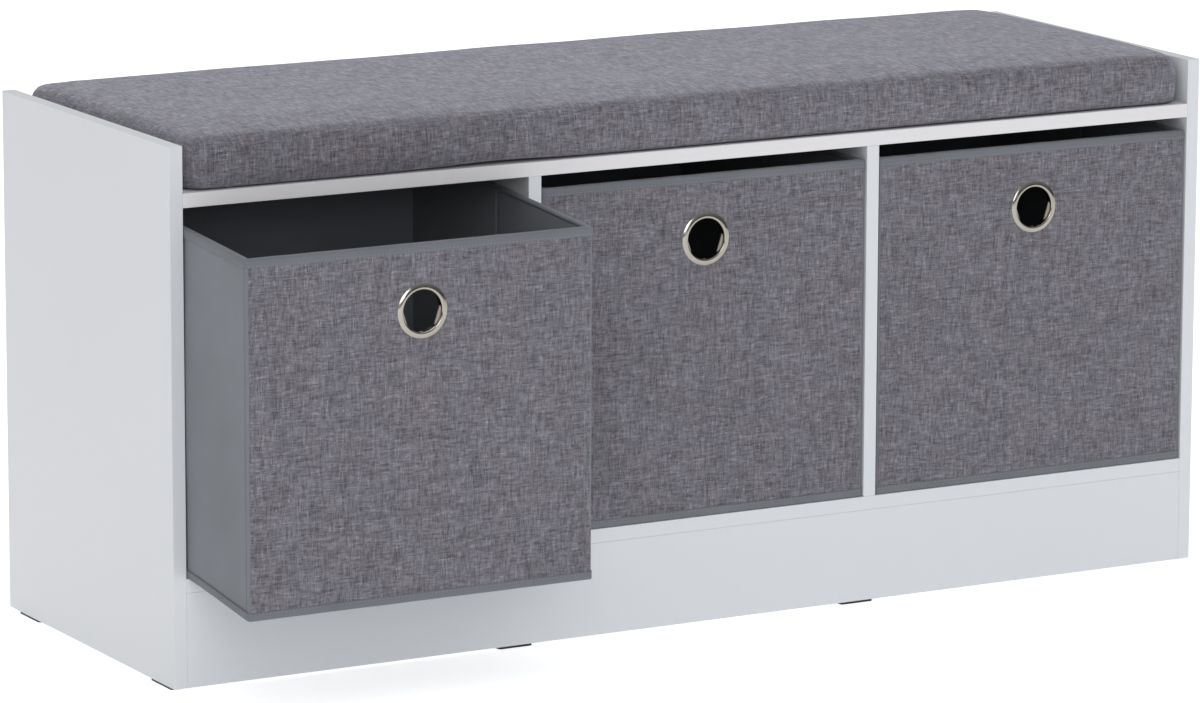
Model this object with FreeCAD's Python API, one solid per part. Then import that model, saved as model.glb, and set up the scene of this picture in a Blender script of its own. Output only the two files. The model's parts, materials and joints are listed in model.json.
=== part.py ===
"""Entryway bench: a white storage bench with three drawer boxes of fabric and a loose seat cushion.

Units are millimetres. +X runs to the right along the bench, +Y to the rear and +Z up. The origin lies on
the floor, under the middle of the whole model as it stands with the left box drawn out.
"""
import FreeCAD, Part
import math
import os

V = FreeCAD.Vector
TINY = 0.001                    # below this two lengths count as the same

# Carcass: melamine-faced boards
WIDTH = 1000.0
DEPTH = 330.0
PANEL_HEIGHT = 450.0            # height of the two side panels
BOARD = 12.0                    # thickness of every board
EDGE_ROUND = 0.5                # softened edge of the edge banding
SEAT_TOP = 411.0                # top of the seat board above the side panels' lower edge
SHELF_TOP = 92.0                # top of the bottom shelf above the same edge
COMPARTMENTS = 3
PAD_THICK = 2.0                 # glide pads under the carcass
PAD_CORNER = 2.5

# Back panel, held in a groove all round
BACK_THICK = 3.0
GROOVE_WIDTH = 3.2
GROOVE_INSET = 8.0              # from the rear edge of the boards to the groove
SIDE_GROOVE_DEPTH = 5.0
BOARD_GROOVE_DEPTH = 4.0
BACK_END_GAP = 0.5              # the back panel stops short of each groove's bottom

# Hidden fittings
CAM_DIAMETER = 14.8
CAM_POCKET = 15.0
CAM_THICK = 9.5
CAM_POCKET_DEPTH = 10.0
CAM_FROM_END = 24.0             # from the board's end to the middle of its cam
BOLT_THREAD = 4.9
BOLT_THREAD_HOLE = 5.0
BOLT_SHANK = 5.6
BOLT_HEAD = 6.8
BOLT_HEAD_LENGTH = 3.5
BOLT_HOLE = 7.2
BOLT_CHANNEL = 7.6              # way for the bolt's head through its cam
BOLT_IN_PANEL = 8.5
DRIVER_SLOT = (8.0, 1.6, 1.6)   # length, width and depth of one arm of the cross recess
DOWEL_DIAMETER = 6.0
DOWEL_HOLE = 6.1
DOWEL_IN_PANEL = 8.5
DOWEL_IN_BOARD = 16.0
SCREW_DIAMETER = 4.9
SCREW_HOLE = 5.0
SCREW_HEAD = 8.0
SCREW_HEAD_HOLE = 8.1
SCREW_HEAD_HEIGHT = 3.0
SCREW_SINK = 0.3                # the head lies this far below the board's face
SCREW_LENGTH = 40.0
SCREW_RECESS = 3.0              # width of the round driver recess in the head
HOLE_SPARE = 1.0                # every blind hole is this much deeper than its fitting
CAM_ROWS = (40.0, 285.0)        # distances of the cams and screws behind the front edge
DOWEL_ROWS = (72.0, 253.0)
PLINTH_DOWEL_OFFSET = 24.0      # dowels of a plinth above and below its cam

# Glide pads
SIDE_PAD = (10.0, 40.0)         # across and along the side panel
SIDE_PAD_ROWS = (28.0, 292.0)   # middles, behind the front edge
PLINTH_PAD = (32.0, 10.0)
PLINTH_PAD_PLACES = (-182.0, 154.0)

# Seat cushion
CUSHION_SIDE_GAP = 1.5
CUSHION_SETBACK = 0.5           # behind the front edge, and before the rear one
CUSHION_THICK = 41.7
CUSHION_CORNER = 16.0
CUSHION_EDGE = 5.0
CUSHION_CLOTH = 1.2
FOAM_GAP = 0.3
ZIP_LENGTH = 860.0
ZIP_TAPE = (24.0, 1.0)          # width and thickness
ZIP_COIL = (5.0, 1.2)           # width and height above the tape
SLIDER = (11.0, 8.6, 2.0)       # length, width and thickness of the plate over the coil
SLIDER_FLANGE = 1.0
SLIDER_ROUND = 0.8
FREE_GAP = 0.3                  # between pieces of different bodies
OVERCUT = 1.0                   # how far a cutting tool passes the surface that it opens

# Drawer boxes: fabric over stiff boards
BOX_WIDTH = 314.0
BOX_DEPTH = 314.0
BOX_HEIGHT = 295.0
BOX_SETBACK = 1.5               # closed front behind the carcass's front edge
LEFT_DRAWN = 112.0              # the left box's front ahead of the carcass's front edge
CLOTH = 0.8
STIFFENER = 2.4
STIFFENER_GAP = 0.1             # play between a stiffener and its pocket
POCKET_SEAM = 1.2               # fabric left at the top and the ends of a pocket
CREASE = 2.0                    # fold line down the middle of each side wall
CREASE_WEB = 1.6
BOTTOM_CLOTH = 1.0
BASE_THICK = 3.0
BASE_GAP = 2.5                  # around the loose base board

# Eyelets in the box fronts
EYELET_DROP = 55.3              # below the rim of the box
EYELET_OUTER = 48.0
EYELET_BORE = 35.0
EYELET_BARREL = 38.0
EYELET_HOLE = 38.4
EYELET_PROUD = 2.0
EYELET_LIP = 0.6                # height at which the bore starts to curl outwards
EYELET_FLARE = 42.0             # rolled end of the barrel, on the washer
FLARE_THICK = 0.8
WASHER_THICK = 1.0

# Worked out from the driving dimensions
WALL = 2 * CLOTH + STIFFENER + 2 * STIFFENER_GAP
EYELET_Z_IN_BOX = BOX_HEIGHT - EYELET_DROP
ZIP_PROUD = ZIP_COIL[1] + FREE_GAP + SLIDER[2] - CUSHION_SETBACK
FRONT = -(DEPTH + ZIP_PROUD - LEFT_DRAWN - EYELET_PROUD) / 2
REAR = FRONT + DEPTH
LEFT = -WIDTH / 2
RIGHT = WIDTH / 2
CLEAR_LEFT = LEFT + BOARD
CLEAR_RIGHT = RIGHT - BOARD
BASE = PAD_THICK
SEAT = BASE + SEAT_TOP
SEAT_UNDER = SEAT - BOARD
SHELF = BASE + SHELF_TOP
SHELF_UNDER = SHELF - BOARD
GROOVE_FRONT = REAR - GROOVE_INSET - GROOVE_WIDTH
BAY = (CLEAR_RIGHT - CLEAR_LEFT - (COMPARTMENTS - 1) * BOARD) / COMPARTMENTS
BAY_STEP = BAY + BOARD
ENDS = ((CLEAR_LEFT, 1.0), (CLEAR_RIGHT, -1.0))     # board end and the way into the board


def block(x0, x1, y0, y1, z0, z1):
    """A plain block between two corners."""
    return Part.makeBox(x1 - x0, y1 - y0, z1 - z0, V(x0, y0, z0))


def board(x0, x1, y0, y1, z0, z1):
    """A board with its edges softened."""
    solid = block(x0, x1, y0, y1, z0, z1)
    return solid.makeFillet(EDGE_ROUND, solid.Edges)


def rod(diameter, length, start, direction):
    """A cylinder from its start point along a direction."""
    return Part.makeCylinder(diameter / 2, length, start, direction)


def turned(section, centre):
    """A solid turned about the Y axis through centre, from the closed half section's edges."""
    face = Part.Face(Part.Wire(section))
    face.translate(centre)
    return face.revolve(centre, V(0, 1, 0), 360)


def straight_run(points):
    """Edges through points."""
    return [Part.makeLine(start, end) for start, end in zip(points, points[1:])]


def quarter_bend(start, end):
    """An arc that sets off along Y at its start and arrives along X at its end."""
    half_turn = math.radians(45)
    step = end - start
    middle = start + V(step.x * (1 - math.cos(half_turn)), step.y * math.sin(half_turn), 0)
    return Part.Arc(start, middle, end).toShape()


def upright_edges(solid):
    """The edges of a block that run along Z."""
    return [edge for edge in solid.Edges if edge.BoundBox.ZLength > max(edge.BoundBox.XLength,
                                                                         edge.BoundBox.YLength)]


def save(name, *solids):
    """Write one node: a single solid or a group of separate solids."""
    shape = solids[0] if len(solids) == 1 else Part.makeCompound(list(solids))
    shape.exportStep("parts/" + name + ".step")


class Fittings:
    """Collects the hidden fittings and the holes that they need in each board."""

    def __init__(self):
        self.bolts = []
        self.cams = []
        self.dowels = []
        self.screws = []
        self.holes = {}

    def cut(self, node, tool):
        """Remember a hole in a board."""
        self.holes.setdefault(node, []).append(tool)

    def drilled(self, node, solid):
        """The board with all of its holes."""
        tools = self.holes.get(node, [])
        return solid.cut(tools) if tools else solid

    def cam_joint(self, node, panel, end, y, z, face):
        """A bolt from a side panel into the end of a board, drawn tight by a cam set into a face."""
        x, into = end
        inward = V(into, 0, 0)
        outward = V(-into, 0, 0)
        axis = V(x, y, z)
        self.cut(panel, rod(BOLT_THREAD_HOLE, BOLT_IN_PANEL + HOLE_SPARE, axis, outward))
        self.cut(node, rod(BOLT_HOLE, CAM_FROM_END + BOLT_HEAD_LENGTH, axis, inward))
        thread = rod(BOLT_THREAD, BOLT_IN_PANEL + HOLE_SPARE, axis + inward * HOLE_SPARE, outward)
        shank = rod(BOLT_SHANK, CAM_FROM_END, axis + inward * HOLE_SPARE, inward)
        head_start = axis + inward * (CAM_FROM_END - BOLT_HEAD_LENGTH / 2)
        head = rod(BOLT_HEAD, BOLT_HEAD_LENGTH, head_start, inward)
        self.bolts.append(thread.fuse([shank, head]).removeSplitter())

        middle = axis + inward * CAM_FROM_END
        surface = middle + face * (BOARD / 2)
        into_face = face * -1.0
        self.cut(node, rod(CAM_POCKET, CAM_POCKET_DEPTH, surface, into_face))
        cam = rod(CAM_DIAMETER, CAM_THICK, surface, into_face)
        channel = rod(BOLT_CHANNEL, CAM_FROM_END + BOLT_HEAD_LENGTH, axis, inward)
        self.cams.append(cam.cut([channel, *self.cross_recess(surface, face)]))

    def cross_recess(self, surface, face):
        """The two arms of a screwdriver recess in the face of a cam."""
        length, width, depth = DRIVER_SLOT
        across = V(0, 1, 0) if abs(face.z) > 0.5 else V(0, 0, 1)
        arms = []
        for long_way, short_way in ((V(1, 0, 0), across), (across, V(1, 0, 0))):
            half = long_way * (length / 2) + short_way * (width / 2)
            low = surface - half - face * depth
            high = surface + half + face * OVERCUT
            corners = [sorted(pair) for pair in zip(low, high)]
            arms.append(block(*corners[0], *corners[1], *corners[2]))
        return arms

    def dowel(self, node_a, node_b, start, into_b, depth_a):
        """A wooden dowel across a butt joint, from board a into board b."""
        length = depth_a + DOWEL_IN_BOARD
        low = start - into_b * depth_a
        self.dowels.append(rod(DOWEL_DIAMETER, length, low, into_b))
        spare = into_b * HOLE_SPARE
        hole = rod(DOWEL_HOLE, length + 2 * HOLE_SPARE, low - spare, into_b)
        self.cut(node_a, hole)
        self.cut(node_b, hole)

    def screw(self, board_node, divider_node, surface, inward):
        """A countersunk screw through a board into the edge of a divider."""
        top = surface + inward * SCREW_SINK
        head = Part.makeCone(SCREW_HEAD / 2, SCREW_DIAMETER / 2, SCREW_HEAD_HEIGHT, top, inward)
        shank = rod(SCREW_DIAMETER, SCREW_LENGTH, top, inward)
        recess = Part.makeCylinder(SCREW_RECESS / 2, SCREW_HEAD_HEIGHT, top, inward)
        self.screws.append(head.fuse(shank).cut(recess))
        slope = (SCREW_HEAD - SCREW_DIAMETER) / SCREW_HEAD_HEIGHT
        mouth = SCREW_HEAD_HOLE + slope * SCREW_SINK
        seat = Part.makeCone(mouth / 2, SCREW_HOLE / 2, SCREW_HEAD_HEIGHT + SCREW_SINK, surface, inward)
        hole = rod(SCREW_HOLE, SCREW_LENGTH + SCREW_SINK + HOLE_SPARE, surface, inward)
        self.cut(board_node, seat.fuse(hole))
        self.cut(divider_node, hole)


def divider_name(index):
    return ("divider_left", "divider_right")[index]


def place_fittings():
    """Every cam, dowel and screw of the carcass."""
    fittings = Fittings()
    down = V(0, 0, -1)
    up = V(0, 0, 1)
    panels = ("side_panel_left", "side_panel_right")
    shelf_middle = SHELF - BOARD / 2
    seat_middle = SEAT - BOARD / 2
    plinth_middle = (BASE + SHELF_UNDER) / 2
    plinths = (("plinth_front", FRONT + BOARD / 2, V(0, 1, 0)),
               ("plinth_rear", REAR - BOARD / 2, V(0, -1, 0)))
    for end, panel in zip(ENDS, panels):
        inward = V(end[1], 0, 0)
        for node, z in (("seat_board", seat_middle), ("bottom_shelf", shelf_middle)):
            for row in CAM_ROWS:
                fittings.cam_joint(node, panel, end, FRONT + row, z, down)
            for row in DOWEL_ROWS:
                start = V(end[0], FRONT + row, z)
                fittings.dowel(panel, node, start, inward, DOWEL_IN_PANEL)
        for node, y, hidden_face in plinths:
            fittings.cam_joint(node, panel, end, y, plinth_middle, hidden_face)
            for offset in (-PLINTH_DOWEL_OFFSET, PLINTH_DOWEL_OFFSET):
                start = V(end[0], y, plinth_middle + offset)
                fittings.dowel(panel, node, start, inward, DOWEL_IN_PANEL)
    for node, y, _ in plinths:
        for x in (-BAY_STEP, 0.0, BAY_STEP):
            fittings.dowel("bottom_shelf", node, V(x, y, SHELF_UNDER), down, DOWEL_IN_PANEL)
    for index in range(COMPARTMENTS - 1):
        x = CLEAR_LEFT + BAY + BOARD / 2 + index * BAY_STEP
        for row in CAM_ROWS:
            y = FRONT + row
            fittings.screw("seat_board", divider_name(index), V(x, y, SEAT), down)
            fittings.screw("bottom_shelf", divider_name(index), V(x, y, SHELF_UNDER), up)
    return fittings


def make_carcass():
    """Boards, back panel, fittings and glide pads."""
    fittings = place_fittings()
    groove_rear = GROOVE_FRONT + GROOVE_WIDTH
    side_groove = block(CLEAR_LEFT - SIDE_GROOVE_DEPTH, CLEAR_RIGHT + SIDE_GROOVE_DEPTH, GROOVE_FRONT,
                        groove_rear, SHELF - BOARD_GROOVE_DEPTH, SEAT_UNDER + BOARD_GROOVE_DEPTH)
    boards = {
        "side_panel_left": board(LEFT, CLEAR_LEFT, FRONT, REAR, BASE, BASE + PANEL_HEIGHT),
        "side_panel_right": board(CLEAR_RIGHT, RIGHT, FRONT, REAR, BASE, BASE + PANEL_HEIGHT),
        "seat_board": board(CLEAR_LEFT, CLEAR_RIGHT, FRONT, REAR, SEAT_UNDER, SEAT),
        "bottom_shelf": board(CLEAR_LEFT, CLEAR_RIGHT, FRONT, REAR, SHELF_UNDER, SHELF),
        "plinth_front": board(CLEAR_LEFT, CLEAR_RIGHT, FRONT, FRONT + BOARD, BASE, SHELF_UNDER),
        "plinth_rear": board(CLEAR_LEFT, CLEAR_RIGHT, REAR - BOARD, REAR, BASE, SHELF_UNDER),
    }
    for index in range(COMPARTMENTS - 1):
        x = CLEAR_LEFT + BAY + index * BAY_STEP
        boards[divider_name(index)] = board(x, x + BOARD, FRONT, GROOVE_FRONT, SHELF, SEAT_UNDER)
    for name in ("side_panel_left", "side_panel_right", "seat_board", "bottom_shelf"):
        fittings.cut(name, side_groove)
    for name, solid in boards.items():
        save(name, fittings.drilled(name, solid))

    play = (GROOVE_WIDTH - BACK_THICK) / 2
    side_reach = SIDE_GROOVE_DEPTH - BACK_END_GAP
    board_reach = BOARD_GROOVE_DEPTH - BACK_END_GAP
    save("back_panel", block(CLEAR_LEFT - side_reach, CLEAR_RIGHT + side_reach, GROOVE_FRONT + play,
                             groove_rear - play, SHELF - board_reach, SEAT_UNDER + board_reach))
    save("cam_bolts", *fittings.bolts)
    save("cam_locks", *fittings.cams)
    save("dowels", *fittings.dowels)
    save("divider_screws", *fittings.screws)
    save("side_glide_pads", *[glide_pad(x, FRONT + row, SIDE_PAD)
                              for x in (LEFT + BOARD / 2, RIGHT - BOARD / 2) for row in SIDE_PAD_ROWS])
    save("plinth_glide_pads", *[glide_pad(x, y, PLINTH_PAD)
                                for x in PLINTH_PAD_PLACES
                                for y in (FRONT + BOARD / 2, REAR - BOARD / 2)])


def glide_pad(x, y, size):
    """A flat pad with rounded ends, on the floor under a board."""
    across, along = size
    pad = block(x - across / 2, x + across / 2, y - along / 2, y + along / 2, 0, PAD_THICK)
    return pad.makeFillet(PAD_CORNER, upright_edges(pad))


def soft_block(x0, x1, y0, y1, z0, z1, corner, edge_round):
    """A block with large upright corners and softly rounded upper and lower edges."""
    solid = block(x0, x1, y0, y1, z0, z1)
    solid = solid.makeFillet(corner, upright_edges(solid))
    rims = [edge for edge in solid.Edges if edge.BoundBox.ZLength < TINY]
    return solid.makeFillet(edge_round, rims)


def make_cushion():
    """Cushion cover, its foam, and the zip along the rear boxing."""
    x0 = CLEAR_LEFT + CUSHION_SIDE_GAP
    x1 = -x0
    y0 = FRONT + CUSHION_SETBACK
    y1 = REAR - CUSHION_SETBACK
    z0 = SEAT + FREE_GAP
    z1 = z0 + CUSHION_THICK
    cover = soft_block(x0, x1, y0, y1, z0, z1, CUSHION_CORNER, CUSHION_EDGE)
    cavity = soft_block(x0 + CUSHION_CLOTH, x1 - CUSHION_CLOTH, y0 + CUSHION_CLOTH, y1 - CUSHION_CLOTH,
                        z0 + CUSHION_CLOTH, z1 - CUSHION_CLOTH,
                        CUSHION_CORNER - CUSHION_CLOTH, CUSHION_EDGE - CUSHION_CLOTH)
    middle = (z0 + z1) / 2
    half = ZIP_LENGTH / 2
    tape_width, tape_thick = ZIP_TAPE
    coil_width, coil_height = ZIP_COIL
    opening = block(-half, half, y1 - 2 * CUSHION_CLOTH, y1 + OVERCUT, middle - tape_width / 2,
                    middle + tape_width / 2)
    save("cushion_cover", cover.cut([cavity, opening]))
    reach = CUSHION_CLOTH + FOAM_GAP
    save("cushion_foam", soft_block(x0 + reach, x1 - reach, y0 + reach, y1 - reach, z0 + reach,
                                    z1 - reach, CUSHION_CORNER - reach, CUSHION_EDGE - reach))

    tape = block(-half, half, y1 - tape_thick, y1, middle - tape_width / 2, middle + tape_width / 2)
    coil = block(-half, half, y1, y1 + coil_height, middle - coil_width / 2, middle + coil_width / 2)
    save("zip_tape", tape.fuse(coil).removeSplitter())

    length, width, thick = SLIDER
    inner = y1 + coil_height + FREE_GAP
    slider_x = half - length
    plate = block(slider_x, half, y1 + FREE_GAP, inner + thick, middle - width / 2, middle + width / 2)
    channel = width / 2 - SLIDER_FLANGE
    way = block(slider_x - OVERCUT, half + OVERCUT, y1, inner, middle - channel, middle + channel)
    outer_edges = [edge for edge in plate.Edges if edge.CenterOfMass.y > inner + thick - TINY]
    save("zip_slider", plate.makeFillet(SLIDER_ROUND, outer_edges).cut(way))


def pocket_and_stiffener(axis, low, high, wall_start, z0, z1):
    """A pocket in a wall and the stiff board inside it. axis is the way that the wall runs."""
    skin_start = wall_start + CLOTH
    skin_end = wall_start + WALL - CLOTH
    gap = STIFFENER_GAP
    top = z1 - POCKET_SEAM
    if axis == "x":
        pocket = block(low, high, skin_start, skin_end, z0 - OVERCUT, top)
        stiffener = block(low + gap, high - gap, skin_start + gap, skin_end - gap, z0 + gap, top - gap)
    else:
        pocket = block(skin_start, skin_end, low, high, z0 - OVERCUT, top)
        stiffener = block(skin_start + gap, skin_end - gap, low + gap, high - gap, z0 + gap, top - gap)
    return pocket, stiffener


def make_eyelet(centre):
    """A curled metal ring through the front wall, and its centre on the wall's front face."""
    bore = EYELET_BORE / 2
    barrel = EYELET_BARREL / 2
    outer = EYELET_OUTER / 2
    flare = EYELET_FLARE / 2
    washer_face = WALL + WASHER_THICK
    end = washer_face + FLARE_THICK
    lip = V(bore, -EYELET_LIP, 0)
    crown = V((bore + outer) / 2, -EYELET_PROUD, 0)
    rim = V(outer, 0, 0)
    back = [rim, V(barrel, 0, 0), V(barrel, washer_face, 0), V(flare, washer_face, 0), V(flare, end, 0),
            V(bore, end, 0), lip]
    return turned([quarter_bend(lip, crown), quarter_bend(rim, crown), *straight_run(back)], centre)


def make_washer(centre):
    """The flat ring behind the front wall, under the rolled end of the eyelet."""
    inner = EYELET_HOLE / 2
    outer = EYELET_OUTER / 2
    corners = [V(inner, WALL, 0), V(outer, WALL, 0), V(outer, WALL + WASHER_THICK, 0),
               V(inner, WALL + WASHER_THICK, 0)]
    return turned(straight_run(corners + corners[:1]), centre)


def make_box(name, middle_x, front_y):
    """One drawer box with its front at front_y."""
    x0 = middle_x - BOX_WIDTH / 2
    x1 = middle_x + BOX_WIDTH / 2
    y1 = front_y + BOX_DEPTH
    z0 = SHELF + FREE_GAP
    z1 = z0 + BOX_HEIGHT
    floor = z0 + BOTTOM_CLOTH
    prefix = name + "_"

    eye = V(middle_x, front_y, z0 + EYELET_Z_IN_BOX)
    hole = rod(EYELET_HOLE, WALL + 2 * OVERCUT, eye - V(0, OVERCUT, 0), V(0, 1, 0))
    pocket, stiffener = pocket_and_stiffener("x", x0 + POCKET_SEAM, x1 - POCKET_SEAM, front_y, floor, z1)
    save(prefix + "front_cover", block(x0, x1, front_y, front_y + WALL, floor, z1).cut([pocket, hole]))
    save(prefix + "front_stiffener", stiffener.cut(hole))

    back_y = y1 - WALL
    pocket, stiffener = pocket_and_stiffener("x", x0 + POCKET_SEAM, x1 - POCKET_SEAM, back_y, floor, z1)
    save(prefix + "back_cover", block(x0, x1, back_y, y1, floor, z1).cut(pocket))
    save(prefix + "back_stiffener", stiffener)

    side_start = front_y + WALL
    half_way = (side_start + back_y) / 2
    halves = ((side_start + POCKET_SEAM, half_way - CREASE), (half_way + CREASE, back_y - POCKET_SEAM))
    side_stiffeners = []
    for side, wall_x in (("left", x0), ("right", x1 - WALL)):
        tools = []
        for low, high in halves:
            pocket, stiffener = pocket_and_stiffener("y", low, high, wall_x, floor, z1)
            tools.append(pocket)
            side_stiffeners.append(stiffener)
        fold_depth = (WALL - CREASE_WEB) / 2
        for fold_x in (wall_x, wall_x + WALL - fold_depth):
            tools.append(block(fold_x, fold_x + fold_depth, half_way - CREASE / 2, half_way + CREASE / 2,
                               floor - OVERCUT, z1 + OVERCUT))
        wall = block(wall_x, wall_x + WALL, side_start, back_y, floor, z1)
        save(prefix + "side_cover_" + side, wall.cut(tools))
    save(prefix + "side_stiffeners", *side_stiffeners)

    save(prefix + "bottom_cover", block(x0, x1, front_y, y1, z0, floor))
    inset = WALL + BASE_GAP
    base_z = floor + FREE_GAP
    save(prefix + "base_board", block(x0 + inset, x1 - inset, front_y + inset, y1 - inset, base_z,
                                      base_z + BASE_THICK))

    save(prefix + "eyelet", make_eyelet(eye))
    save(prefix + "eyelet_washer", make_washer(eye))


def main():
    os.makedirs("parts", exist_ok=True)
    make_carcass()
    make_cushion()
    closed = FRONT + BOX_SETBACK
    fronts = (FRONT - LEFT_DRAWN, closed, closed)
    for index, name in enumerate(("box_left", "box_middle", "box_right")):
        middle = CLEAR_LEFT + BAY / 2 + index * BAY_STEP
        make_box(name, middle, fronts[index])


main()
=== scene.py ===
"""Entryway bench: white boards, a loose padded cushion, and three drawer boxes of cloth over stiff boards.

Lengths are metres. X runs along the bench to the right, Y from the front to the rear and Z up.
"""
import json
import math

import bpy
from mathutils import Matrix, Vector, noise


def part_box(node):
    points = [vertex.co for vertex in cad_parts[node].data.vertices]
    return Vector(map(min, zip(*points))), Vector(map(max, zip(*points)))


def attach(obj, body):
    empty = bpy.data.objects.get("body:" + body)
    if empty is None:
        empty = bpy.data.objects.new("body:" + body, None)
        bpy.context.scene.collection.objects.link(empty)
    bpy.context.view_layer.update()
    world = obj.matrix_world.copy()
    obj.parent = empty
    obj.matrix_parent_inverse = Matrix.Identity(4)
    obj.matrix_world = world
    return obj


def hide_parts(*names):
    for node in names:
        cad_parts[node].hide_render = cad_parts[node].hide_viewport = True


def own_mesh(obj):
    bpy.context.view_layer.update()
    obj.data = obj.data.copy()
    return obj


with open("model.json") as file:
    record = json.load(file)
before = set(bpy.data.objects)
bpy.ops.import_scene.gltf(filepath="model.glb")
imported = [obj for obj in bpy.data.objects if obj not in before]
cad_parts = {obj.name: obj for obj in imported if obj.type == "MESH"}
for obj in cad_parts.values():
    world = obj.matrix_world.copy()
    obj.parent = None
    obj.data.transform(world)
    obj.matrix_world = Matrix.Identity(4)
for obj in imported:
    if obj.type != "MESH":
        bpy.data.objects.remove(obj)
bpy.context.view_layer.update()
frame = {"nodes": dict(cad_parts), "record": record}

MM = 0.001
BOXES = ("box_left", "box_middle", "box_right")

# Camera: to the left of the bench's front and a little above it, with a long lens
CAMERA_PLACE = (-2.6627, -4.5885, 1.3005)   # its Y counts from the boards' front edges
CAMERA_TURN = -29.16            # degrees, seen from above
CAMERA_TILT = -11.34
CAMERA_ROLL = 0.18
LENS = 191.4
SENSOR = 36.0
CAMERA_FAR = 60.0
FLOOR_REACH = 14.0

# Light: a dome that is brighter overhead, and softboxes (name, place, aim, size, watts)
DOME_LOW = (0.16, 0.16, 0.16, 1)
DOME_HIGH = (0.94, 0.94, 0.94, 1)
DOME_MIRRORED = (0.04, 0.04, 0.045, 1)
FLOOR_GLOW = 0.52               # keeps the pale floor white
FLOOR_MIRRORED = (0.15, 0.15, 0.15, 1)
SOFTBOXES = (
    ("front_softbox", (-1.6, -4.2, 2.0), (0, 0, 0.25), (2.6, 2.2), 52.0),
    ("side_softbox", (-4.2, -0.6, 2.2), (0, 0, 0.25), (2.2, 2.0), 2.5),
    ("top_softbox", (0, 1.4, 2.5), (0, 0.05, 0.45), (2.6, 1.4), 20.0),
)

# Seat cushion
CUSHION_PITCH = 7 * MM          # between the mesh lines before smoothing
CUSHION_CORNER = 20 * MM
CUSHION_INSET = 1.6 * MM        # the cover starts this much smaller, because it swells
LEFT_END_GAP = 2.2 * MM         # the cushion lies this much more to the right
CUSHION_RAISE = 3.5 * MM        # the top seam is fuller than the plain block
CUSHION_CROWN = 1.4 * MM
CUSHION_BULGE = 2.0 * MM
CUSHION_TOP_WAVE = 0.7 * MM
TOP_ROUND = 8 * MM              # radius along the front and rear upper edges
END_ROUND = 15 * MM             # radius along the upper edges of the two ends
FOOT_ROUND = 6 * MM
FRONT_BAND = 30 * MM            # the front's own shaping fades out over this depth
FRONT_WAVE = 0.8 * MM
LIFT_PLACE = -0.196             # along the bench, where the front's lower seam is a little lifted
LIFT_REACH = 0.052
LIFT_SEAM = 2.6 * MM            # at the seam itself
LIFT_FACE = 0.6 * MM            # halfway up the front
LIFT_PUCKER = 1.2 * MM
STAND_PROUD = (0.3 * MM, 1.5 * MM, 3.5 * MM)    # the most at the ends, at the front and over the raised top
SEAM_FOLD = 0.55                # how sharp the boxing's two seams are
FOAM_SPARE = 6 * MM             # the foam block is this much smaller than its space
FOAM_PITCH = 20 * MM
FOAM_BEVEL = 3 * MM
SEAM_HOLD = 0.8                 # how firmly the top seam stays in place while the panels swell
SEAM_PULL = 0.01
SWELL_FRAMES = 18
SWELL_LIMIT = 5 * MM
STUFFED_CLOTH = {
    "quality": 6, "mass": 0.25, "tension_stiffness": 25, "compression_stiffness": 18, "shear_stiffness": 12,
    "bending_stiffness": 1.5, "air_damping": 4, "pin_stiffness": 2.0, "use_pressure": True,
    "uniform_pressure_force": 3.2,
}

# Drawer boxes
WALL_PITCH = 5 * MM
HEM_DROP = 7.2 * MM             # how far the rim's tape reaches down outside
HEM_TUCK = 3.0 * MM             # and inside
FOOT_RISE = 7.0 * MM            # how far the bottom tape reaches up
TAPE = 0.55 * MM
LINEN = 0.6 * MM
WRAP = 1.6 * MM                 # side cloth showing on the front, beside the linen
STITCH = 3.4 * MM               # from one stitch to the next
STITCH_INSET = 1.6 * MM         # from the tape's edge
SAG = 12.5 * MM                 # droop of the drawn box's front
SAG_LEAD = 90 * MM              # the rim starts to droop this far behind the shelf's edge, and the foot at it
FOLD_DEPTH = 0.55               # share of a side wall's thickness that its fold line takes away
FOLD_WIDTH = 1.3 * MM
TAPE_RIPPLE = 0.5 * MM
BOX_CORNER = 2.5 * MM
EYELET_CUT = 20.5 * MM          # radius of the hole in the cloth, under the eyelet's flange
EYELET_SEGMENTS = 96
BOARD_THICK = 2.2 * MM          # stiff boards in the walls
BOARD_MARGIN = 1.8 * MM

# Sections of the eyelet's ring and washer: (radius, depth behind the wall's face), in millimetres
EYELET_LIP = ((17.5, 3.2), (17.5, 0.9), (17.5, -0.3), (17.58, -1.0), (17.85, -1.55), (18.3, -1.88), (18.9, -2.0),
              (19.7, -1.93), (20.6, -1.72), (21.5, -1.4), (22.3, -1.02), (23.0, -0.6), (23.6, -0.2), (24.0, 0.0))
EYELET_BACK = ((23.2, 0.05), (19.3, -0.2), (18.9, 0.6), (18.9, 4.6), (19.4, 5.2), (20.6, 5.35), (20.9, 5.7),
               (20.3, 6.0), (18.6, 5.95), (17.8, 5.4), (17.5, 4.6))
WASHER = ((19.3, 4.25), (23.6, 4.25), (24.0, 4.5), (23.8, 5.0), (22.8, 5.2), (21.0, 5.1), (19.3, 5.05))

# Zip
ZIP_PITCH = 1.6 * MM            # from one tooth of the coil to the next
TOOTH_STEPS = 8
TOOTH_SIDES = 6
SLIDER_STEPS = 20
SLIDER_NOSE = 0.1               # share of the slider's length that each end is rounded over

X = Vector((1, 0, 0))
Y = Vector((0, 1, 0))
Z = Vector((0, 0, 1))


# ---------------------------------------------------------------- node trees

def add_node(tree, kind, inputs=None, **settings):
    """A node with its settings, whose inputs are numbers, colours or other nodes' outputs."""
    made = tree.nodes.new(kind)
    for key, value in settings.items():
        setattr(made, key, value)
    for key, value in (inputs or {}).items():
        if isinstance(value, bpy.types.NodeSocket):
            tree.links.new(value, made.inputs[key])
        else:
            made.inputs[key].default_value = value
    return made


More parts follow.
